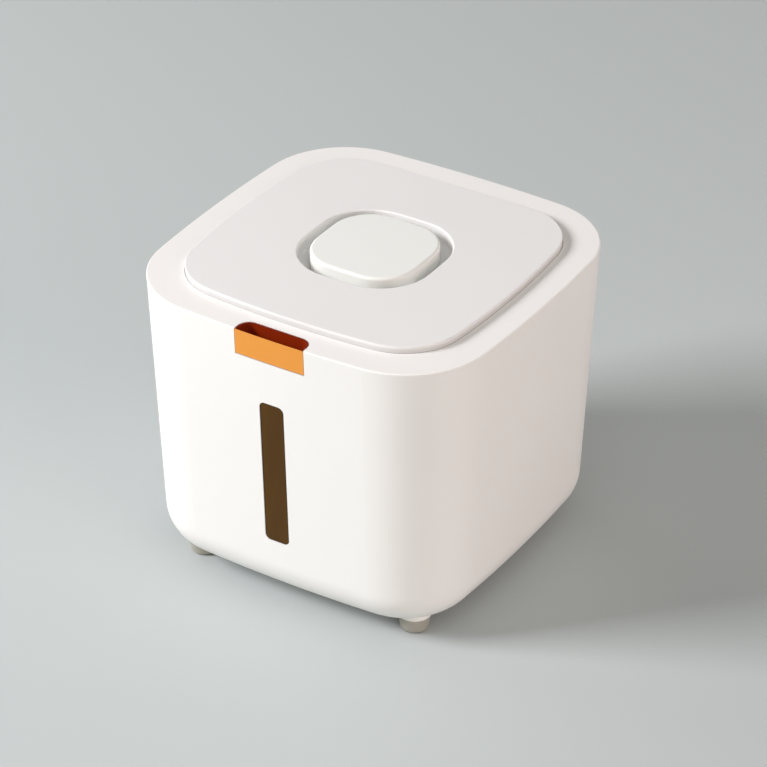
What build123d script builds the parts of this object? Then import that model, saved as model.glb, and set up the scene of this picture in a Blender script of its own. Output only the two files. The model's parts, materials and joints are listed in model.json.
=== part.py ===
"""Flip-lid rice bin: a square bucket with soft corners, a rim frame with a pull latch, a hinged lid
and a lift-out drying cartridge in the middle of the lid. Millimetres, +Z up, front towards -Y.
The origin is the middle of the base, on the surface that the four feet stand on.
"""
import math
import os

from build123d import *

# ---- Bucket -------------------------------------------------------------------------------------
BODY_HALF = 120.0          # half of the square outline, at the rim
CORNER_RADIUS = 57.0       # outline corner, at the rim
SIDE_BOW_RADIUS = 1000.0   # the four sides bulge very slightly
BUCKET_HEIGHT = 195.0      # underside of the bucket to the top of the rim band
SIDE_DRAFT = 8.4           # how far each side leans in, from rim to underside
BUCKET_WALL = 2.5
BUCKET_BASE = 3.0
BASE_EDGE_RADIUS = 27.5

# ---- Feet ---------------------------------------------------------------------------------------
FOOT_HEIGHT = 10.0
FOOT_RADIUS = 10.6
FOOT_TIP_RADIUS = 8.7
FOOT_INSET = 40.5          # each foot's axis, inside the sides at the rim
FOOT_TIP_FILLET = 2.2
COLLAR_LIP = 0.3           # the bucket's collar round a foot is wider than the foot
COLLAR_BASE = 1.0          # collar's lower face above the underside of the bucket
FOOT_STEM_RADIUS = 3.0
FOOT_STEM_LENGTH = 6.0     # above the underside of the bucket
FOOT_BOSS_RADIUS = 6.0
FOOT_BOSS_RISE = 5.0       # above the bucket's inner floor

# ---- Sight window -------------------------------------------------------------------------------
WINDOW_WIDTH = 17.6
WINDOW_BELOW_BAND = 47.6   # upper end of the slot below the band's top
WINDOW_LOW = 44.0          # lower end of the slot above the underside of the bucket
WINDOW_CORNER = 4.0
LENS_SINK = 0.4            # the lens sits this far below the wall's outer face
LENS_FLANGE = 1.6
LENS_FLANGE_LAP = 4.0

# ---- Rim frame ----------------------------------------------------------------------------------
BAND_THICKNESS = 2.5
BAND_EDGE_FILLET = 0.8
LID_GAP = 0.35             # between the lid's outline and the frame's well
RIM_WALL = 2.0
LEDGE_DEPTH = 8.0          # ledge below the band's top
SKIRT_DEPTH = 10.0         # locating skirt below the band plate
NECK_INSET = 10.5          # neck's outer face inside the lid's outline
NECK_WALL = 2.2
NECK_RISE = 2.0            # sealing lip above the ledge
NECK_DROP = 11.0           # neck below the ledge's top

# ---- Lid ----------------------------------------------------------------------------------------
LID_INSET = 20.9           # lid outline inside the band's outline, at the middle of each side
LID_CORNER = 41.0
LID_BOW_RADIUS = 600.0
LID_RISE = 4.5             # lid top above the band
LID_SKIN = 2.2
LID_EDGE_FILLET = 0.6
LID_WALL_CLEARANCE = 1.0   # lid wall above the ledge
LINER_INSET = 4.5
LINER_THICKNESS = 2.0
LINER_DROP = 6.3           # liner's top face below the lid's top
LINER_TO_HINGE = 5.8       # the liner stops this far in front of the hinge pins
GASKET_LAP = 0.8           # gasket wider than the neck on each side
GASKET_GAP = 0.3
SCREW_FROM_NECK = 9.0      # liner screws, inside the neck's outer face
SCREW_SPREAD = 45.0
LID_SCREW_RADIUS = 1.25
LID_SCREW_HEAD_RADIUS = 2.6
LID_SCREW_HEAD = 1.4
LID_SCREW_LENGTH = 4.5
LID_BOSS_RADIUS = 3.4

# ---- Hinges -------------------------------------------------------------------------------------
HINGE_FROM_LID = 3.5       # the lid ends at the pins, so nothing of it swings down
PIN_RADIUS = 1.0
PIN_CLEARANCE = 0.06
KNUCKLE_RADIUS = 1.95
HINGE_CENTRE_X = 33.0
HINGE_HALF_SPAN = 12.0     # half length of one hinge group, over its outer ears
EAR_WIDTH = 3.5
KNUCKLE_GAP = 0.4
HINGE_REACH = HINGE_CENTRE_X + HINGE_HALF_SPAN
EAR_REAR = 1.1             # rear face of an ear's stem behind the pin's axis
REAR_WALL_LOW = 2.5        # lid's rear wall stops this far below the pin
REAR_WALL_HALF = 60.0
LID_SPRING_WIRE = 0.6
LID_SPRING_TURNS = 6

# ---- Latch --------------------------------------------------------------------------------------
LATCH_WIDTH = 49.8
LATCH_HEIGHT = 18.2
LATCH_DEPTH = 12.8         # notch in the band, front to back
NOTCH_CORNER = 8.5
LATCH_CLEARANCE = 0.25
LATCH_UNDER_GAP = 0.7
LATCH_PLATE = 2.4
LATCH_BEVEL = 2.0          # bevel on the plate's top edge, towards the cup
LATCH_DROP = 0.3           # latch below the band's top
LATCH_LIP_DEPTH = 1.0      # lip under the plate, behind its face
LATCH_WALL = 1.2
LATCH_TRAVEL = 3.5         # pulled towards the front
POCKET_FLOOR_BELOW_BAND = 15.0
SLIDE_THICKNESS = 2.0
SLIDE_BAR = 1.6            # cross bar and rear bar of the slide
SLIDE_TO_NECK = 0.6
STRIKER_SETBACK = 2.0      # striker's front face behind the lid's front
STRIKER_HALF_WIDTH = 10.0
STRIKER_THICKNESS = 1.8
STRIKER_BARB = 1.4
STRIKER_BARB_HEIGHT = 2.2
STRIKER_PLAY = 0.5
LATCH_EAR_X = 31.0
LATCH_EAR_HALF = 3.0
LATCH_SEAT_FROM_WALL = 3.0
LATCH_SPRING_RADIUS = 2.1
LATCH_SPRING_WIRE = 0.6
LATCH_SPRING_TURNS = 4
BRACKET_THICKNESS = 2.0
BRACKET_HALF_WIDTH = 43.0
BRACKET_SCREW_X = 39.0
BRACKET_BOSS_RADIUS = 3.2
BRACKET_SCREW_RADIUS = 1.3
BRACKET_SCREW_HEAD_RADIUS = 2.6
BRACKET_SCREW_HEAD = 1.6
BRACKET_SCREW_LENGTH = 5.5

# ---- Drying cartridge in the lid ------------------------------------------------------------------
MOAT_HALF = 44.7
MOAT_CORNER = 34.4
MOAT_BOW_RADIUS = 420.0
MOAT_DEPTH = 9.5           # below the lid's top
MOAT_WIDTH = 7.9
MOAT_SKIN = 2.0
MOAT_FLOOR_FILLET = 1.5
MOAT_RIM_FILLET = 1.1
KNOB_RISE = 2.1            # knob top above the lid's top
KNOB_SKIN = 2.0
KNOB_EDGE_FILLET = 1.9
KNOB_FLOAT = 0.4           # knob above the moat's floor
WELL_FROM_KNOB = 7.4       # well's bore inside the knob's side
WELL_WALL = 2.0
WELL_DROP = 8.0            # end of the well below the moat's floor
PLUG_CLEARANCE = 0.35
PLUG_WALL = 1.8
PLUG_DROP = 7.0            # plug's end below the moat's floor
RING_WIDTH = 2.4
RING_DROP = 4.0            # middle of the seal ring below the moat's floor
BASKET_CLEARANCE = 0.15
BASKET_WALL = 1.4
BASKET_DROP = 12.5         # underside of the basket below the moat's floor
BASKET_SLOTS = 12
DISC_CLEARANCE = 1.2
DISC_HEIGHT = 9.0

# ---- Places that follow ---------------------------------------------------------------------------
FOOT_PLACE = BODY_HALF - FOOT_INSET
LID_HALF = BODY_HALF - LID_INSET
NECK_HALF = LID_HALF - NECK_INSET
SCREW_PLACE = NECK_HALF - SCREW_FROM_NECK
HINGE_Y = LID_HALF - HINGE_FROM_LID
LINER_REAR = HINGE_Y - LINER_TO_HINGE
NOTCH_REAR = -(BODY_HALF - LATCH_DEPTH)
CUP_REAR = NOTCH_REAR - LATCH_CLEARANCE
RIM_FRONT = -(LID_HALF + LID_GAP + RIM_WALL)
BAR_REAR = RIM_FRONT - 0.5
STRIKER_FRONT = -LID_HALF + STRIKER_SETBACK
STRIKER_REAR = STRIKER_FRONT + STRIKER_THICKNESS
LATCH_SEAT = -(BODY_HALF - BUCKET_WALL - LATCH_SEAT_FROM_WALL)
BRACKET_SCREW_Y = -(LID_HALF + NECK_HALF) / 2
WELL_RADIUS = MOAT_HALF - MOAT_WIDTH - WELL_FROM_KNOB
WINDOW_LENGTH = BUCKET_HEIGHT - WINDOW_BELOW_BAND - WINDOW_LOW

# ---- Levels that follow ---------------------------------------------------------------------------
UNDERSIDE = FOOT_HEIGHT
BAND_TOP = UNDERSIDE + BUCKET_HEIGHT
BAND_UNDER = BAND_TOP - BAND_THICKNESS
LID_TOP = BAND_TOP + LID_RISE
LEDGE_TOP = BAND_TOP - LEDGE_DEPTH
LEDGE_UNDER = LEDGE_TOP - RIM_WALL
NECK_TOP = LEDGE_TOP + NECK_RISE
NECK_LOW = LEDGE_TOP - NECK_DROP
LINER_TOP = LID_TOP - LINER_DROP
LINER_UNDER = LINER_TOP - LINER_THICKNESS
HINGE_Z = BAND_TOP
MOAT_FLOOR = LID_TOP - MOAT_DEPTH
LATCH_LOW = BAND_TOP - LATCH_HEIGHT
POCKET_FLOOR = BAND_TOP - POCKET_FLOOR_BELOW_BAND
SLIDE_TOP = LEDGE_UNDER - LATCH_CLEARANCE
BRACKET_TOP = POCKET_FLOOR - LATCH_WALL - LATCH_CLEARANCE
SLIDE_LOW = SLIDE_TOP - SLIDE_THICKNESS
BARB_TOP = SLIDE_LOW - LATCH_CLEARANCE


# ---- Outlines and basic solids --------------------------------------------------------------------
def soft_square(half, corner, bow, inset=0.0):
    """A square face with bowed sides and round corners, moved in by inset. All arcs stay tangent."""
    side_centre = half - bow
    reach = bow - corner
    corner_centre = (side_centre + math.sqrt(2 * reach**2 - side_centre**2)) / 2
    ux = corner_centre / reach
    uy = (corner_centre - side_centre) / reach
    tx = (bow - inset) * ux
    ty = side_centre + (bow - inset) * uy
    bulge = corner_centre + (corner - inset) * math.sqrt(0.5)
    side = ThreePointArc((-tx, ty), (0, half - inset), (tx, ty))
    bend = ThreePointArc((tx, ty), (bulge, bulge), (ty, tx))
    quarter_turns = [Rot(0, 0, -90 * k) * edge for k in range(4) for edge in (side, bend)]
    return make_face(Wire(quarter_turns))


def body_face(inset):
    return soft_square(BODY_HALF, CORNER_RADIUS, SIDE_BOW_RADIUS, inset)


def body_plate(inset, low, high):
    return Pos(0, 0, low) * extrude(body_face(inset), high - low)


def lid_plate(inset, low, high):
    face = soft_square(LID_HALF, LID_CORNER, LID_BOW_RADIUS, inset)
    return Pos(0, 0, low) * extrude(face, high - low)


def lid_ring(outer, inner, low, high):
    return lid_plate(outer, low, high) - lid_plate(inner, low, high)


def moat_plate(inset, low, high):
    face = soft_square(MOAT_HALF, MOAT_CORNER, MOAT_BOW_RADIUS, inset)
    return Pos(0, 0, low) * extrude(face, high - low)


def block(x0, x1, y0, y1, z0, z1):
    return Pos((x0 + x1) / 2, (y0 + y1) / 2, (z0 + z1) / 2) * Box(x1 - x0, y1 - y0, z1 - z0)


def post(x, y, low, high, radius):
    return Pos(x, y, (low + high) / 2) * Cylinder(radius, high - low)


def rod(x0, x1, y, z, radius):
    """A cylinder along X."""
    return Pos((x0 + x1) / 2, y, z) * Rot(0, 90, 0) * Cylinder(radius, x1 - x0)


def front_prism(width, length, corner, low, depth=40.0):
    """A rounded slot shape that runs front to back through the front wall."""
    shape = extrude(RectangleRounded(width, length, corner), depth / 2, both=True)
    return Pos(0, -BODY_HALF, low + length / 2) * Rot(90, 0, 0) * shape


def draft_inset(z):
    return SIDE_DRAFT * (BAND_TOP - z) / BUCKET_HEIGHT


def bucket_core(skin, low, high, edge_radius):
    """The solid inside a surface that lies skin deep in the bucket's outer surface."""
    taper = -math.degrees(math.atan(SIDE_DRAFT / BUCKET_HEIGHT))
    core = Pos(0, 0, low) * extrude(body_face(skin + draft_inset(low)), high - low, taper=taper)
    return fillet(core.edges().group_by(Axis.Z)[0], edge_radius)


def helix_spring(radius, wire, turns, length):
    """A coil about the Z axis, from z = 0 to z = length."""
    pitch = (length - wire) / turns
    path = Pos(0, 0, wire / 2) * Helix(pitch, pitch * turns, radius)
    start = Plane(origin=path @ 0, z_dir=path % 0)
    return sweep(start * Circle(wire / 2), path=path, is_frenet=True)


# ---- Bucket and what is fixed to it ---------------------------------------------------------------
def window_slot(grow=0.0):
    return front_prism(
        WINDOW_WIDTH + 2 * grow,
        WINDOW_LENGTH + 2 * grow,
        WINDOW_CORNER + grow,
        UNDERSIDE + WINDOW_LOW - grow,
    )


def foot_places():
    for side, x in (("left", -FOOT_PLACE), ("right", FOOT_PLACE)):
        for end, y in (("front", -FOOT_PLACE), ("rear", FOOT_PLACE)):
            yield f"foot_{end}_{side}", x, y


def body_shell(outer, inner):
    shell = outer - inner
    boss_top = UNDERSIDE + BUCKET_BASE + FOOT_BOSS_RISE
    collar_low = UNDERSIDE + COLLAR_BASE
    collar_high = UNDERSIDE + BASE_EDGE_RADIUS / 3
    for _, x, y in foot_places():
        shell += post(x, y, collar_low, collar_high, FOOT_RADIUS + COLLAR_LIP) - inner
        shell += post(x, y, UNDERSIDE, boss_top, FOOT_BOSS_RADIUS) & outer
        shell -= post(x, y, 0, UNDERSIDE + FOOT_STEM_LENGTH, FOOT_STEM_RADIUS)
    shell -= window_slot()
    half = LATCH_WIDTH / 2
    return shell - block(-half, half, -BODY_HALF - 1, NOTCH_REAR, LATCH_LOW, BAND_TOP)


def foot(x, y, outer):
    tip = Circle(FOOT_TIP_RADIUS)
    top = Pos(0, 0, FOOT_HEIGHT) * Circle(FOOT_RADIUS)
    pad = loft([tip, top])
    pad = fillet(pad.edges().group_by(Axis.Z)[0], FOOT_TIP_FILLET)
    pad += post(0, 0, FOOT_HEIGHT, FOOT_HEIGHT + COLLAR_BASE, FOOT_RADIUS)
    pad = Pos(x, y, 0) * pad - outer
    stem = post(x, y, UNDERSIDE - 1, UNDERSIDE + FOOT_STEM_LENGTH, FOOT_STEM_RADIUS)
    pad = max(pad.solids(), key=lambda s: s.volume)
    return pad + stem


def window_lens():
    high = BAND_UNDER
    low = UNDERSIDE + BUCKET_BASE
    face_core = bucket_core(LENS_SINK, low, high, BASE_EDGE_RADIUS)
    wall_core = bucket_core(BUCKET_WALL, low, high, BASE_EDGE_RADIUS)
    flange_core = bucket_core(BUCKET_WALL + LENS_FLANGE, low, high, BASE_EDGE_RADIUS)
    plug = (face_core - wall_core) & window_slot(-0.15)
    flange = (wall_core - flange_core) & window_slot(LENS_FLANGE_LAP)
    front = block(-40, 40, -BODY_HALF - 1, 0, low, high)
    return (plug & front) + (flange & front)


def latch_notch(inset, low, high, front=-BODY_HALF - 5):
    """The shape of the notch in the band, or what fills it when inset is above 0."""
    half = LATCH_WIDTH / 2 - inset
    notch = block(-half, half, front, NOTCH_REAR - inset, low, high)
    corners = notch.edges().filter_by(Axis.Z).group_by(Axis.Y)[-1]
    return fillet(corners, NOTCH_CORNER - inset)


def hinge_sides():
    yield "left", -HINGE_CENTRE_X
    yield "right", HINGE_CENTRE_X


def ear_spans(centre):
    """The x ranges of the frame's two ears in one hinge group."""
    yield centre - HINGE_HALF_SPAN, centre - HINGE_HALF_SPAN + EAR_WIDTH
    yield centre + HINGE_HALF_SPAN - EAR_WIDTH, centre + HINGE_HALF_SPAN


def knuckle_spans(centre):
    """The x ranges of the lid's two knuckles in one hinge group, just inside the ears."""
    near = HINGE_HALF_SPAN - EAR_WIDTH - KNUCKLE_GAP
    yield centre - near, centre - near + EAR_WIDTH
    yield centre + near - EAR_WIDTH, centre + near


def latch_ear_spans():
    for side in (-1, 1):
        near, far = LATCH_EAR_X - LATCH_EAR_HALF, LATCH_EAR_X + LATCH_EAR_HALF
        yield min(side * near, side * far), max(side * near, side * far)


def top_frame():
    band = body_plate(0, BAND_UNDER, BAND_TOP)
    band = fillet(band.edges().group_by(Axis.Z)[-1], BAND_EDGE_FILLET)
    frame = band - lid_plate(-LID_GAP, BAND_UNDER, BAND_TOP)
    # Behind the lid the band runs straight, close to the hinge knuckles.
    strip_front = HINGE_Y + KNUCKLE_RADIUS + 0.25
    strip = block(-HINGE_REACH, HINGE_REACH, strip_front, HINGE_Y + 6, BAND_UNDER, BAND_TOP)
    frame += strip
    rim_outer = -LID_GAP - RIM_WALL
    frame += lid_ring(rim_outer, -LID_GAP, LEDGE_UNDER, BAND_UNDER)
    frame += lid_ring(rim_outer, NECK_INSET, LEDGE_UNDER, LEDGE_TOP)
    frame += lid_ring(NECK_INSET, NECK_INSET + NECK_WALL, NECK_LOW, NECK_TOP)
    skirt_low = BAND_UNDER - SKIRT_DEPTH
    skirt_inset = BUCKET_WALL + draft_inset(skirt_low) + 0.2
    skirt = body_plate(skirt_inset, skirt_low, BAND_UNDER)
    frame += skirt - body_plate(skirt_inset + RIM_WALL, skirt_low, BAND_UNDER)
    # Room for the latch: the notch in the band, a gap in the skirt and the slot for the striker.
    frame -= latch_notch(0, BAND_UNDER, BAND_TOP)
    skirt_half = LATCH_EAR_X + LATCH_EAR_HALF + RIM_WALL
    frame -= block(-skirt_half, skirt_half, -BODY_HALF, NOTCH_REAR, skirt_low, BAND_UNDER)
    slot_half = STRIKER_HALF_WIDTH + 1
    slot_front = -LID_HALF - LID_GAP
    frame -= block(-slot_half, slot_half, slot_front, STRIKER_REAR + 0.6, LEDGE_UNDER, LEDGE_TOP)
    # Ribs that the latch springs push against, and bosses for the bracket screws.
    rib_low = POCKET_FLOOR - 1.0
    for x0, x1 in latch_ear_spans():
        frame += block(x0, x1, LATCH_SEAT - SLIDE_BAR, LATCH_SEAT, rib_low, BAND_UNDER)
    for side in (-1, 1):
        x, y = side * BRACKET_SCREW_X, BRACKET_SCREW_Y
        frame += post(x, y, BRACKET_TOP, LEDGE_UNDER, BRACKET_BOSS_RADIUS)
        frame -= post(x, y, BRACKET_TOP, BRACKET_TOP + BRACKET_SCREW_LENGTH, BRACKET_SCREW_RADIUS)
    # Hinge ears stand on the ledge.
    for _, centre in hinge_sides():
        for x0, x1 in ear_spans(centre):
            frame += rod(x0, x1, HINGE_Y, HINGE_Z, KNUCKLE_RADIUS)
            frame += block(x0, x1, HINGE_Y - KNUCKLE_RADIUS, HINGE_Y + EAR_REAR, LEDGE_TOP, HINGE_Z)
        frame -= rod(centre - HINGE_HALF_SPAN, centre + HINGE_HALF_SPAN, HINGE_Y, HINGE_Z, PIN_RADIUS)
    return frame


def hinge_pin(centre):
    return rod(centre - HINGE_HALF_SPAN, centre + HINGE_HALF_SPAN, HINGE_Y, HINGE_Z, PIN_RADIUS)


def lid_spring(centre):
    """A coil round the pin, between the lid's knuckles."""
    free = 2 * (HINGE_HALF_SPAN - 2 * EAR_WIDTH - 2 * KNUCKLE_GAP)
    mean = PIN_RADIUS + LID_SPRING_WIRE / 2 + 0.25
    coil = helix_spring(mean, LID_SPRING_WIRE, LID_SPRING_TURNS, free)
    return Pos(centre - free / 2, HINGE_Y, HINGE_Z) * Rot(0, 90, 0) * coil


# ---- Latch ----------------------------------------------------------------------------------------
def latch_button(outer):
    """A front plate with a finger cup behind it and a slide that runs in under the frame's ledge."""
    half = LATCH_WIDTH / 2 - LATCH_CLEARANCE
    plate_core = bucket_core(LATCH_PLATE, UNDERSIDE, BAND_TOP, BASE_EDGE_RADIUS)
    low = LATCH_LOW + LATCH_UNDER_GAP
    high = BAND_TOP - LATCH_DROP
    button = (outer - plate_core) & block(-half, half, -BODY_HALF - 1, 0, low, high)
    rear_edge = button.edges().group_by(Axis.Z)[-1].sort_by(Axis.Y)[-1]
    button = chamfer(rear_edge, LATCH_BEVEL)
    # A lip behind the lower edge closes most of the gap under the plate.
    face_core = bucket_core(LATCH_LIP_DEPTH, UNDERSIDE, BAND_TOP, BASE_EDGE_RADIUS)
    lip_low = LATCH_LOW + LATCH_CLEARANCE
    button += (face_core - plate_core) & block(-half, half, -BODY_HALF - 1, 0, lip_low, low + 0.1)
    # The cup fills the notch, so that no white shows round it from above.
    cup_front = -BODY_HALF + LATCH_PLATE - 0.2
    cup_low = POCKET_FLOOR - LATCH_WALL
    cup = latch_notch(LATCH_CLEARANCE, cup_low, high, cup_front)
    cup -= latch_notch(LATCH_CLEARANCE + LATCH_WALL, POCKET_FLOOR, BAND_TOP, cup_front - 1)
    button += cup
    # The slide: a tongue, a cross bar for the springs and a window for the lid's striker.
    tongue = STRIKER_HALF_WIDTH + 6
    slide_rear = -NECK_HALF - SLIDE_TO_NECK
    button += block(-tongue, tongue, CUP_REAR - LATCH_WALL, slide_rear, SLIDE_LOW, SLIDE_TOP)
    reach = LATCH_EAR_X + LATCH_EAR_HALF
    button += block(-reach, reach, BAR_REAR - SLIDE_BAR, BAR_REAR, cup_low, SLIDE_TOP)
    window = STRIKER_HALF_WIDTH + 1
    window_front = STRIKER_FRONT - STRIKER_BARB - STRIKER_PLAY
    window_rear = STRIKER_REAR + LATCH_TRAVEL + STRIKER_PLAY
    button -= block(-window, window, window_front, window_rear, SLIDE_LOW, SLIDE_TOP)
    return button


def latch_spring(side):
    length = BAR_REAR - SLIDE_BAR - LATCH_SEAT
    z = (POCKET_FLOOR - LATCH_WALL + SLIDE_TOP) / 2
    coil = helix_spring(LATCH_SPRING_RADIUS, LATCH_SPRING_WIRE, LATCH_SPRING_TURNS, length)
    return Pos(side * LATCH_EAR_X, LATCH_SEAT, z) * Rot(-90, 0, 0) * coil


def latch_bracket():
    """A tray under the latch that it slides on, screwed to two bosses."""
    low = BRACKET_TOP - BRACKET_THICKNESS
    front = -BODY_HALF + BUCKET_WALL + draft_inset(low) + 1.0
    rear = -NECK_HALF - LATCH_CLEARANCE
    tray = block(-BRACKET_HALF_WIDTH, BRACKET_HALF_WIDTH, front, rear, low, BRACKET_TOP)
    tray = fillet(tray.edges().filter_by(Axis.Z), 3.0)
    for side in (-1, 1):
        hole = BRACKET_SCREW_RADIUS + 0.2
        tray -= post(side * BRACKET_SCREW_X, BRACKET_SCREW_Y, low, BRACKET_TOP, hole)
    return tray


def pan_screw(x, y, head_top, head, head_radius, shank_radius, length):
    """A pan-head screw whose head's flat underside is at head_top and whose shank goes up."""
    body = post(x, y, head_top - head, head_top, head_radius)
    body = fillet(body.edges().group_by(Axis.Z)[0], head * 0.45)
    body += post(x, y, head_top, head_top + length, shank_radius)
    for angle in (0, 90):
        bar = Pos(x, y, head_top - head) * Rot(0, 0, angle) * Box(head_radius, 0.6, head)
        body -= bar
    return body


def latch_screws():
    low = BRACKET_TOP - BRACKET_THICKNESS
    screws = []
    for side in (-1, 1):
        screws.append(
            pan_screw(
                side * BRACKET_SCREW_X,
                BRACKET_SCREW_Y,
                low,
                BRACKET_SCREW_HEAD,
                BRACKET_SCREW_HEAD_RADIUS,
                BRACKET_SCREW_RADIUS,
                BRACKET_SCREW_LENGTH + BRACKET_THICKNESS - 0.5,
            )
        )
    return screws


# ---- Lid ------------------------------------------------------------------------------------------
def lid_screw_places():
    for side in (-1, 1):
        for end in (-1, 1):
            yield side * SCREW_SPREAD, end * SCREW_PLACE
            yield side * SCREW_PLACE, end * SCREW_SPREAD


def lid_block(inset, low, high):
    """The lid's outline, moved in, with a straight rear edge above the hinge pins."""
    solid = lid_plate(inset, low, high)
    return solid - block(-BODY_HALF, BODY_HALF, HINGE_Y - inset, BODY_HALF, low, high)


def lid_cover():
    wall_low = LEDGE_TOP + LID_WALL_CLEARANCE
    skin_under = LID_TOP - LID_SKIN
    cover = lid_block(0, wall_low, LID_TOP)
    cover = fillet(cover.edges().group_by(Axis.Z)[-1], LID_EDGE_FILLET)
    moat = moat_plate(0, MOAT_FLOOR, LID_TOP)
    moat = fillet(moat.edges().group_by(Axis.Z)[0], MOAT_FLOOR_FILLET)
    cover -= moat
    cavity = lid_block(LID_SKIN, wall_low, skin_under)
    cavity -= moat_plate(-MOAT_SKIN, MOAT_FLOOR - MOAT_SKIN, LID_TOP)
    cover -= cavity
    top_edges = cover.edges().group_by(Axis.Z)[-1]
    reach = MOAT_HALF * 1.3
    rim = [e for e in top_edges if math.hypot(e.center().X, e.center().Y) < reach]
    cover = fillet(rim, MOAT_RIM_FILLET)
    # The well for the cartridge's plug.
    cover += post(0, 0, MOAT_FLOOR - WELL_DROP, MOAT_FLOOR, WELL_RADIUS + WELL_WALL)
    cover -= post(0, 0, MOAT_FLOOR - WELL_DROP, LID_TOP, WELL_RADIUS)
    # The rear wall is short and open at the hinges, where the knuckles hang from the skin.
    rear_face = HINGE_Y - LID_SKIN - 0.5
    rear_low = HINGE_Z - REAR_WALL_LOW
    cover -= block(-REAR_WALL_HALF, REAR_WALL_HALF, rear_face, BODY_HALF, wall_low - 1, rear_low)
    for _, centre in hinge_sides():
        span = HINGE_HALF_SPAN + KNUCKLE_GAP
        cover -= block(centre - span, centre + span, rear_face, BODY_HALF, rear_low - 1, skin_under)
        for x0, x1 in knuckle_spans(centre):
            cover += rod(x0, x1, HINGE_Y, HINGE_Z, KNUCKLE_RADIUS)
            cover += block(x0, x1, HINGE_Y - KNUCKLE_RADIUS, HINGE_Y, HINGE_Z, skin_under + 0.1)
        cover -= rod(centre - span, centre + span, HINGE_Y, HINGE_Z, PIN_RADIUS + PIN_CLEARANCE)
    # Striker behind the front wall, with its barb towards the front.
    half = STRIKER_HALF_WIDTH
    striker_low = BARB_TOP - STRIKER_BARB_HEIGHT
    cover += block(-half, half, STRIKER_FRONT, STRIKER_REAR, striker_low, skin_under + 0.1)
    barb = block(-half, half, STRIKER_FRONT - STRIKER_BARB, STRIKER_FRONT, striker_low, BARB_TOP)
    ramp = barb.edges().filter_by(Axis.X).group_by(Axis.Z)[0].sort_by(Axis.Y)[0]
    cover += chamfer(ramp, STRIKER_BARB * 0.9)
    for x, y in lid_screw_places():
        cover += post(x, y, LINER_TOP, LID_TOP - LID_SKIN + 0.1, LID_BOSS_RADIUS)
        cover -= post(x, y, LINER_TOP, LINER_TOP + LID_SCREW_LENGTH - 0.6, LID_SCREW_RADIUS)
    return cover


def lid_liner():
    liner = lid_plate(LINER_INSET, LINER_UNDER, LINER_TOP)
    liner -= block(-BODY_HALF, BODY_HALF, LINER_REAR, BODY_HALF, LINER_UNDER, LINER_TOP)
    # Two low ribs hold the gasket between them; the outer one stops short of the hinges.
    rib_low = NECK_TOP + GASKET_GAP + 0.8
    inner_rib = NECK_INSET + NECK_WALL + GASKET_LAP
    liner += lid_ring(inner_rib, inner_rib + 1.4, rib_low, LINER_UNDER)
    outer_rib = NECK_INSET - GASKET_LAP
    outer_ring = lid_ring(outer_rib - 1.4, outer_rib, rib_low, LINER_UNDER)
    liner += outer_ring - block(-BODY_HALF, BODY_HALF, NECK_HALF - 30, BODY_HALF, rib_low, LINER_UNDER)
    liner -= moat_plate(-MOAT_SKIN - 0.3, LINER_UNDER, LINER_TOP)
    for x, y in lid_screw_places():
        liner -= post(x, y, LINER_UNDER, LINER_TOP, LID_SCREW_RADIUS + 0.2)
        liner -= post(x, y, LINER_UNDER, LINER_UNDER + LID_SCREW_HEAD / 2, LID_SCREW_HEAD_RADIUS + 0.3)
    return liner


def lid_gasket():
    outer = NECK_INSET - GASKET_LAP
    inner = NECK_INSET + NECK_WALL + GASKET_LAP
    return lid_ring(outer, inner, NECK_TOP + GASKET_GAP, LINER_UNDER)


def lid_screws():
    seat = LINER_UNDER + LID_SCREW_HEAD / 2
    return [
        pan_screw(
            x, y, seat, LID_SCREW_HEAD, LID_SCREW_HEAD_RADIUS, LID_SCREW_RADIUS, LID_SCREW_LENGTH
        )
        for x, y in lid_screw_places()
    ]


# ---- Drying cartridge -------------------------------------------------------------------------------
def plug_radius():
    return WELL_RADIUS - PLUG_CLEARANCE


def knob_cap():
    low = MOAT_FLOOR + KNOB_FLOAT
    high = LID_TOP + KNOB_RISE
    cap = moat_plate(MOAT_WIDTH, low, high)
    cap = fillet(cap.edges().group_by(Axis.Z)[-1], KNOB_EDGE_FILLET)
    cap -= moat_plate(MOAT_WIDTH + KNOB_SKIN, low, high - KNOB_SKIN)
    plug_low = MOAT_FLOOR - PLUG_DROP
    cap += post(0, 0, plug_low, high - KNOB_SKIN + 0.1, plug_radius())
    cap -= post(0, 0, plug_low, high - KNOB_SKIN, plug_radius() - PLUG_WALL)
    middle = MOAT_FLOOR - RING_DROP
    groove = post(0, 0, middle - RING_WIDTH / 2, middle + RING_WIDTH / 2, plug_radius() + 1)
    groove -= post(0, 0, middle - RING_WIDTH, middle + RING_WIDTH, plug_radius() - 0.8)
    return cap - groove


def knob_o_ring():
    middle = MOAT_FLOOR - RING_DROP
    section = RING_WIDTH / 2 - 0.1
    outer = WELL_RADIUS - 0.12
    inner = plug_radius() - 0.8
    band = post(0, 0, middle - section, middle + section, outer)
    band = fillet(band.edges(), 0.35)
    return band - post(0, 0, middle - section, middle + section, inner)


def basket_radius():
    return plug_radius() - PLUG_WALL - BASKET_CLEARANCE


def desiccant_basket():
    """A cup that snaps up into the plug, with slots in its floor and in the wall below the well."""
    low = MOAT_FLOOR - BASKET_DROP
    high = MOAT_FLOOR
    cup = post(0, 0, low, high, basket_radius())
    cup = fillet(cup.edges().group_by(Axis.Z)[0], 1.2)
    cup -= post(0, 0, low + BASKET_WALL, high, basket_radius() - BASKET_WALL)
    slot_length = basket_radius() * 0.45
    for k in range(BASKET_SLOTS):
        turn = Rot(0, 0, 360 / BASKET_SLOTS * k)
        floor_slot = extrude(SlotOverall(slot_length, 2.2), BASKET_WALL * 3)
        place = Pos(basket_radius() * 0.62, 0, low - BASKET_WALL)
        cup -= turn * place * floor_slot
    return cup


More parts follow.
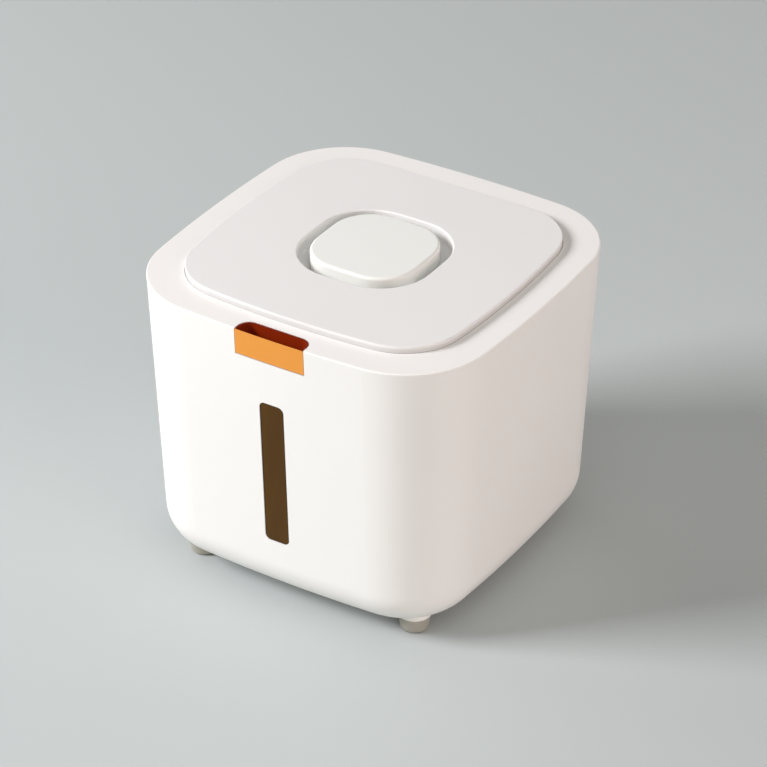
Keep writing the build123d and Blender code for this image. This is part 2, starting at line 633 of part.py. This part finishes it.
def desiccant_disc():
    low = MOAT_FLOOR - BASKET_DROP + BASKET_WALL
    radius = basket_radius() - BASKET_WALL - DISC_CLEARANCE
    disc = post(0, 0, low, low + DISC_HEIGHT, radius)
    return fillet(disc.edges(), 1.5)


# ---- Build and write --------------------------------------------------------------------------------
def make_parts():
    outer = bucket_core(0.0, UNDERSIDE, BAND_TOP, BASE_EDGE_RADIUS)
    floor = UNDERSIDE + BUCKET_BASE
    inner = bucket_core(BUCKET_WALL, floor, BAND_TOP, BASE_EDGE_RADIUS - BUCKET_WALL)
    below_band = body_plate(-10, 0, BAND_UNDER)
    parts = {
        "body_shell": body_shell(outer, inner) & below_band,
        "window_lens": window_lens(),
        "top_frame": top_frame(),
        "latch_button": latch_button(outer),
        "latch_bracket": latch_bracket(),
        "latch_screws": latch_screws(),
        "lid_cover": lid_cover(),
        "lid_liner": lid_liner(),
        "lid_gasket": lid_gasket(),
        "lid_screws": lid_screws(),
        "knob_cap": knob_cap(),
        "knob_o_ring": knob_o_ring(),
        "desiccant_basket": desiccant_basket(),
        "desiccant_disc": desiccant_disc(),
    }
    for side, centre in hinge_sides():
        parts[f"hinge_pin_{side}"] = hinge_pin(centre)
        parts[f"lid_spring_{side}"] = lid_spring(centre)
    for side, sign in (("left", -1), ("right", 1)):
        parts[f"latch_spring_{side}"] = latch_spring(sign)
    for name, x, y in foot_places():
        parts[name] = foot(x, y, outer)
    return parts


def main():
    os.makedirs("parts", exist_ok=True)
    for name, shape in make_parts().items():
        solids = [s for piece in (shape if isinstance(shape, list) else [shape]) for s in piece.solids()]
        export_step(Compound(solids) if len(solids) > 1 else solids[0], f"parts/{name}.step")


if __name__ == "__main__":
    main()
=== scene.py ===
"""Looks for the flip-lid rice bin: finishes for its moulded and metal parts, a pale floor, soft
light and the camera. Metres, +Z up, front towards -Y, origin in the middle of the base.
"""
import json
import math

import bpy
from mathutils import Matrix, Vector


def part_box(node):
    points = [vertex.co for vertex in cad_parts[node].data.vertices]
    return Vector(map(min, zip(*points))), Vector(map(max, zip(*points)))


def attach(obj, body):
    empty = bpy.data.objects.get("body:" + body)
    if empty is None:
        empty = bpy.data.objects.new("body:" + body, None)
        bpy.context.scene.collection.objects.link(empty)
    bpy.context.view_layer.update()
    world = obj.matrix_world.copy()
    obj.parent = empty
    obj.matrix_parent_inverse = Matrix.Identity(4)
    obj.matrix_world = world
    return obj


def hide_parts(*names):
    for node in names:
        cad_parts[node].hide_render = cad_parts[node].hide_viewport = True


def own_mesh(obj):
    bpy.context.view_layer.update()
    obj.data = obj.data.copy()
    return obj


# ---- Colours, as linear RGB ---------------------------------------------------------------------
SHELL_WHITE = (0.86, 0.845, 0.815)
LID_WHITE = (0.79, 0.782, 0.768)
KNOB_WHITE = (0.825, 0.835, 0.795)
LINER_WHITE = (0.80, 0.79, 0.76)
AMBER_DARK = (0.068, 0.029, 0.0005)
LATCH_ORANGE = (0.76, 0.305, 0.052)
# painted shade: the latch's orange as it looks deep in the cup's recess, and darker still at the cup's rim
LATCH_PAINTED_SHADE = (0.24, 0.018, 0.0005)
LATCH_RIM_PAINTED_SHADE = (0.19, 0.014, 0.0005)
FOOT_GREY = (0.40, 0.375, 0.32)
SILICONE = (0.62, 0.62, 0.60)
STEEL = (0.56, 0.56, 0.57)
FELT = (0.60, 0.58, 0.52)
FLOOR_GREY = (0.486, 0.525, 0.52)

# ---- Mouldings ----------------------------------------------------------------------------------
MOULD_DRIFT = 0.985        # darkest tone in the slow drift
MOULD_GRAIN = 0.000012
GRAIN_SHARE = 0.7          # of the bump; the rest is a slow wave
LID_SIDE_FROM = 0.070      # from here outwards the lid counts as its outer side
LID_SIDE_TO = 0.080
# painted shade low on the lid's outer side: full below the low height, none above the high one, down to this tone
LID_PAINTED_SHADE_LOW = 0.2068
LID_PAINTED_SHADE_HIGH = 0.2088
LID_PAINTED_SHADE_TONE = 0.80

# ---- Sight window -------------------------------------------------------------------------------
WINDOW_HALF_WIDTH = 0.0088
WINDOW_HALF_LENGTH = 0.0517
WINDOW_MIDDLE = 0.1057
WINDOW_EDGE = 0.0014
WINDOW_EDGE_TONE = 0.30
WINDOW_FLOW_TONE = 1.25    # lightest streaks in the amber
WINDOW_ALPHA = 0.965       # at its clearest
WINDOW_ALPHA_SPREAD = 0.03

# ---- Latch --------------------------------------------------------------------------------------
PLATE_REAR = -0.1183       # the plate's own orange ends between these two
PLATE_FRONT = -0.1186
FACING_FRONT = (-0.6, -0.7)
# the painted shade of the cup's rim starts between these heights
CUP_RIM_LOW = 0.2039
CUP_RIM_HIGH = 0.2044

# ---- Tone and bump of the other finishes --------------------------------------------------------
RUBBER_MOTTLE = 0.94
FELT_SHADE = 0.82
POLISH_RIPPLE = 0.00001
STEEL_LINES = 0.000008
RUBBER_GRAIN = 0.00002
FELT_PILE = 0.00012

# ---- Camera -------------------------------------------------------------------------------------
CAMERA_PLACE = (0.99937, -1.58873, 1.29126)
CAMERA_AZIMUTH = 32.004
CAMERA_ELEVATION = 32.179
CAMERA_ROLL = 0.178
CAMERA_LENS = 163.6
CAMERA_SENSOR = 36.0
CAMERA_REACH = 50.0

# ---- Light --------------------------------------------------------------------------------------
FLOOR_RADIUS = 9.0
SKY_STRENGTH = 0.16
SKY_COLOR = (0.95, 1.0, 0.95)
AIM = Vector((0, 0, 0.12))
# Name, direction from the object, distance, size, power and colour.
LAMPS = (
    ("window_light", (-0.66, -0.56, 0.53), 3.2, 1.1, 113.5, (0.98, 0.965, 1.0)),
    ("right_bounce", (0.93, -0.22, 0.30), 3.0, 2.2, 40.0, (1.0, 0.81, 0.79)),
    ("left_bounce", (-0.93, 0.10, 0.35), 3.0, 2.2, 24.0, (1.0, 0.92, 0.88)),
    ("low_front", (0.45, -0.86, 0.22), 3.0, 2.0, 8.0, (1.0, 1.0, 0.80)),
    ("overhead", (0.30, -0.35, 0.89), 2.2, 1.6, 8.0, (1.0, 0.99, 1.0)),
    ("rear_bounce", (0.35, 0.93, 0.12), 3.0, 2.2, 26.0, (1.0, 0.95, 0.92)),
)

# ---- Sockets of the colour Mix node, which share their names with its other kinds ---------------
MIX_FIRST = 6
MIX_SECOND = 7
MIX_RESULT = 2


# ---- Shader maths -------------------------------------------------------------------------------
class Value:
    """One output socket. Arithmetic on it adds Math nodes to its tree."""

    def __init__(self, tree, socket):
        self.tree = tree
        self.socket = socket

    def math(self, operation, *others):
        node = self.tree.nodes.new("ShaderNodeMath")
        node.operation = operation
        for k, item in enumerate((self, *others)):
            if isinstance(item, Value):
                self.tree.links.new(item.socket, node.inputs[k])
            else:
                node.inputs[k].default_value = item
        return Value(self.tree, node.outputs[0])

    def __add__(self, other):
        return self.math("ADD", other)

    def __sub__(self, other):
        return self.math("SUBTRACT", other)

    def __rsub__(self, other):
        start = self.tree.nodes.new("ShaderNodeValue")
        start.outputs[0].default_value = other
        return Value(self.tree, start.outputs[0]) - self

    def __mul__(self, other):
        return self.math("MULTIPLY", other)

    def above(self, low, high):
        """0 below low, 1 above high, smooth between."""
        node = self.tree.nodes.new("ShaderNodeMapRange")
        node.interpolation_type = "SMOOTHSTEP"
        self.tree.links.new(self.socket, node.inputs["Value"])
        node.inputs["From Min"].default_value = low
        node.inputs["From Max"].default_value = high
        return Value(self.tree, node.outputs["Result"])


class Finish:
    """A material with a Principled shader, and the nodes that vary it over the surface."""

    def __init__(self, name, color, **constants):
        self.material = bpy.data.materials.new(name)
        self.material.use_nodes = True
        self.tree = self.material.node_tree
        self.shader = self.tree.nodes["Principled BSDF"]
        self.shader.inputs["Base Color"].default_value = (*color, 1.0)
        for socket, value in constants.items():
            self.shader.inputs[socket.replace("_", " ")].default_value = value
        self.place = self.add("ShaderNodeTexCoord")["Object"]

    def add(self, kind, **sockets):
        """Adds a node with the values or links of its sockets, and returns its outputs."""
        node = self.tree.nodes.new(kind)
        for name, value in sockets.items():
            if isinstance(value, Value):
                self.tree.links.new(value.socket, node.inputs[name])
            else:
                node.inputs[name].default_value = value
        return {out.name: Value(self.tree, out) for out in node.outputs if out.enabled}

    def noise(self, scale, detail=2.0, stretch=(1, 1, 1)):
        place = self.place
        if stretch != (1, 1, 1):
            place = self.add("ShaderNodeMapping", Vector=place, Scale=stretch)["Vector"]
        return self.add("ShaderNodeTexNoise", Vector=place, Scale=scale, Detail=detail)["Fac"]

    def split(self, vector):
        parts = self.add("ShaderNodeSeparateXYZ", Vector=vector)
        return parts["X"], parts["Y"], parts["Z"]

    def axes(self):
        return self.split(self.place)

    def normal_axes(self):
        return self.split(self.add("ShaderNodeTexCoord")["Normal"])

    def blend(self, amount, first, second):
        """A colour between two others; amount 0 gives the first."""
        node = self.tree.nodes.new("ShaderNodeMix")
        node.data_type = "RGBA"
        self.tree.links.new(amount.socket, node.inputs["Factor"])
        for index, color in ((MIX_FIRST, first), (MIX_SECOND, second)):
            if isinstance(color, Value):
                self.tree.links.new(color.socket, node.inputs[index])
            else:
                node.inputs[index].default_value = (*color, 1.0)
        return Value(self.tree, node.outputs[MIX_RESULT])

    def feed(self, socket, value):
        self.tree.links.new(value.socket, self.shader.inputs[socket])

    def bump(self, height, distance):
        self.feed("Normal", self.add("ShaderNodeBump", Height=height, Distance=distance)["Normal"])

    def vary_gloss(self, pattern, middle, spread):
        """Roughness around a middle value, over the whole spread of a noise."""
        self.feed("Roughness", pattern * spread + (middle - spread / 2))


def shade(color, factor):
    return tuple(c * factor for c in color)


# ---- Finishes -----------------------------------------------------------------------------------
def paint_lid_side_shade(finish, tone, color):
    """Painted shade: greys a tone towards the foot of the lid's outer side, where it stands above the rim band."""
    across, along, height = finish.axes()
    inside = 1.0 - (across * across + along * along).above(LID_SIDE_FROM**2, LID_SIDE_TO**2)
    unshaded = height.above(LID_PAINTED_SHADE_LOW, LID_PAINTED_SHADE_HIGH).math("MAXIMUM", inside)
    return finish.blend(unshaded, shade(color, LID_PAINTED_SHADE_TONE), tone)


def moulded(name, color, roughness, painted_side_shade=False):
    """Moulded plastic: fine spark-eroded grain, slow drift in tone and in gloss, and painted shade low on the
    lid's outer side when asked for.
    """
    finish = Finish(name, color, IOR=1.47)
    drift = finish.noise(scale=9.0, detail=3.0).above(low=0.3, high=0.7)
    tone = finish.blend(drift, shade(color, MOULD_DRIFT), color)
    # painted shade towards the foot of the lid's outer side
    if painted_side_shade:
        tone = paint_lid_side_shade(finish, tone, color)
    finish.feed("Base Color", tone)
    finish.vary_gloss(finish.noise(scale=35.0, detail=4.0), roughness, spread=0.08)
    grain = finish.noise(scale=2600.0)
    wave = finish.noise(scale=120.0, detail=1.0)
    finish.bump(grain * GRAIN_SHARE + wave * (1 - GRAIN_SHARE), MOULD_GRAIN)
    return finish.material


def amber_window():
    """Smoked amber plastic that shows the inside faintly, darker where it meets the slot."""
    finish = Finish("amber_window", AMBER_DARK, IOR=1.5, Specular_IOR_Level=0.2)
    flow = finish.noise(scale=18.0, detail=3.0, stretch=(6, 6, 1)).above(low=0.35, high=0.7)
    amber = finish.blend(flow, AMBER_DARK, shade(AMBER_DARK, WINDOW_FLOW_TONE))
    across, _, height = finish.axes()
    side = across.math("ABSOLUTE").above(WINDOW_HALF_WIDTH - WINDOW_EDGE, WINDOW_HALF_WIDTH)
    from_middle = (height - WINDOW_MIDDLE).math("ABSOLUTE")
    end = from_middle.above(WINDOW_HALF_LENGTH - WINDOW_EDGE, WINDOW_HALF_LENGTH)
    edge = shade(AMBER_DARK, WINDOW_EDGE_TONE)
    finish.feed("Base Color", finish.blend(side.math("MAXIMUM", end), amber, edge))
    finish.vary_gloss(finish.noise(scale=60.0), middle=0.20, spread=0.08)
    finish.feed("Alpha", finish.noise(scale=12.0) * WINDOW_ALPHA_SPREAD + WINDOW_ALPHA)
    finish.bump(finish.noise(scale=300.0), POLISH_RIPPLE)
    return finish.material


def latch_plastic():
    """Orange on the plate's front. Behind it the cup is painted deep red as painted shade of the orange in its
    recess, and its rim is painted darker still as more painted shade.
    """
    finish = Finish("latch_orange", LATCH_ORANGE, IOR=1.47, Specular_IOR_Level=0.22)
    _, depth, height = finish.axes()
    _, facing, _ = finish.normal_axes()
    plate = facing.above(*FACING_FRONT) * depth.above(PLATE_REAR, PLATE_FRONT)
    # painted shade in the cup behind the plate, darker at its rim
    cup = finish.blend(height.above(CUP_RIM_LOW, CUP_RIM_HIGH), LATCH_PAINTED_SHADE, LATCH_RIM_PAINTED_SHADE)
    finish.feed("Base Color", finish.blend(plate, cup, LATCH_ORANGE))
    finish.vary_gloss(finish.noise(scale=60.0, detail=3.0), middle=0.46, spread=0.08)
    finish.bump(finish.noise(scale=2400.0), POLISH_RIPPLE)
    return finish.material


def bright_steel(name, roughness, stretch=(1, 1, 1)):
    """Drawn steel, with fine lines along the stretch."""
    finish = Finish(name, STEEL, Metallic=1.0)
    lines = finish.noise(scale=900.0, stretch=stretch)
    finish.vary_gloss(lines, roughness, spread=0.12)
    finish.bump(lines, STEEL_LINES)
    return finish.material


def soft_rubber(name, color, roughness=0.55):
    """Rubber or silicone with a faint mottle."""
    finish = Finish(name, color, IOR=1.45)
    mottle = finish.noise(scale=140.0, detail=3.0)
    patches = mottle.above(low=0.3, high=0.7)
    finish.feed("Base Color", finish.blend(patches, shade(color, RUBBER_MOTTLE), color))
    finish.vary_gloss(mottle, roughness, spread=0.1)
    finish.bump(finish.noise(scale=1800.0), RUBBER_GRAIN)
    return finish.material


def pressed_felt():
    """Drying pad: matted short fibres."""
    finish = Finish("desiccant_felt", FELT, Roughness=0.95, Sheen_Weight=0.2)
    mat = finish.noise(scale=700.0, detail=6.0)
    tufts = mat.above(low=0.35, high=0.65)
    finish.feed("Base Color", finish.blend(tufts, shade(FELT, FELT_SHADE), FELT))
    finish.bump(mat, FELT_PILE)
    return finish.material


def dress(frame):
    """Gives every CAD node the finish of its record slot."""
    finishes = {
        "shell_white": moulded("shell_white", SHELL_WHITE, 0.40),
        "frame_white": moulded("frame_white", SHELL_WHITE, 0.40),
        "lid_white": moulded("lid_white", LID_WHITE, 0.42, painted_side_shade=True),
        "knob_white": moulded("knob_white", KNOB_WHITE, 0.42),
        "liner_white": moulded("liner_white", LINER_WHITE, 0.55),
        "bracket_white": moulded("bracket_white", LINER_WHITE, 0.55),
        "basket_white": moulded("basket_white", LINER_WHITE, 0.50),
        "window_amber": amber_window(),
        "latch_orange": latch_plastic(),
        "foot_grey": soft_rubber("foot_grey", FOOT_GREY, 0.36),
        "gasket_silicone": soft_rubber("gasket_silicone", SILICONE),
        "ring_silicone": soft_rubber("ring_silicone", SILICONE),
        "pin_steel": bright_steel("pin_steel", 0.22, stretch=(0.1, 1, 1)),
        "spring_steel": bright_steel("spring_steel", 0.30),
        "screw_steel": bright_steel("screw_steel", 0.32),
        "desiccant_felt": pressed_felt(),
    }
    for part in frame["record"]["subparts"]:
        node = frame["nodes"][part["node"]]
        for slot in node.material_slots:
            slot.material = finishes[part["material_slot"]]


def wind_latch_springs(frame):
    """Stands a copy of each of the latch's two springs on the bin as a coil of its own, in place of the hidden
    spring.
    """
    travel = next(j["range_m"][1] for j in frame["joints"] if j["name"] == "latch_pull")
    for side in ("left", "right"):
        spring = f"latch_spring_{side}"
        low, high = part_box(spring)
        coil = bpy.data.objects.new(f"latch_coil_{side}", frame["nodes"][spring].data.copy())
        bpy.context.scene.collection.objects.link(coil)
        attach(coil, "bin")
        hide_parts(spring)
        keep = 1 - travel / (high[1] - low[1])
        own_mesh(coil)


# ---- Floor, light and camera --------------------------------------------------------------------
def lay_floor():
    bpy.ops.mesh.primitive_circle_add(vertices=96, radius=FLOOR_RADIUS, fill_type="NGON")
    floor = bpy.context.object
    floor.name = "floor"
    finish = Finish("pale_floor", FLOOR_GREY, Roughness=0.85)
    floor.data.materials.append(finish.material)


def light_room():
    world = bpy.data.worlds.new("room")
    bpy.context.scene.world = world
    world.use_nodes = True
    background = world.node_tree.nodes["Background"]
    background.inputs["Color"].default_value = (*SKY_COLOR, 1.0)
    background.inputs["Strength"].default_value = SKY_STRENGTH
    for name, direction, distance, size, power, color in LAMPS:
        data = bpy.data.lights.new(name, "AREA")
        data.size = size
        data.energy = power
        data.color = color
        lamp = bpy.data.objects.new(name, data)
        lamp.location = AIM + Vector(direction).normalized() * distance
        lamp.rotation_euler = (AIM - lamp.location).to_track_quat("-Z", "Y").to_euler()
        bpy.context.scene.collection.objects.link(lamp)


def place_camera():
    a = math.radians(CAMERA_AZIMUTH)
    e = math.radians(CAMERA_ELEVATION)
    r = math.radians(CAMERA_ROLL)
    forward = Vector((-math.sin(a) * math.cos(e), math.cos(a) * math.cos(e), -math.sin(e)))
    right = Vector((math.cos(a), math.sin(a), 0))
    up = right.cross(forward)
    rolled_right = right * math.cos(r) + up * math.sin(r)
    rolled_up = up * math.cos(r) - right * math.sin(r)
    turn = Matrix((rolled_right, rolled_up, -forward)).transposed().to_4x4()
    data = bpy.data.cameras.new("camera")
    data.lens = CAMERA_LENS
    data.sensor_width = CAMERA_SENSOR
    data.clip_end = CAMERA_REACH
    camera = bpy.data.objects.new("camera", data)
    camera.matrix_world = Matrix.Translation(CAMERA_PLACE) @ turn
    bpy.context.scene.collection.objects.link(camera)
    bpy.context.scene.camera = camera


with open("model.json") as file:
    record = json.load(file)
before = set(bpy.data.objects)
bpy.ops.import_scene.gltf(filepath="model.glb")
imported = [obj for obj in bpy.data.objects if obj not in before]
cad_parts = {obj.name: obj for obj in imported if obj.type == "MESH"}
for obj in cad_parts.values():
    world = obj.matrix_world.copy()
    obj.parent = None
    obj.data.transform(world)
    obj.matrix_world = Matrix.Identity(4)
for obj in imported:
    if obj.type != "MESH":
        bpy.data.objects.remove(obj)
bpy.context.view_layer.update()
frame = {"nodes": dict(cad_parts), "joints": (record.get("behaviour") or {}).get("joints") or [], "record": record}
bpy.context.scene.view_settings.view_transform = "Standard"
dress(frame)
wind_latch_springs(frame)
lay_floor()
light_room()
place_camera()
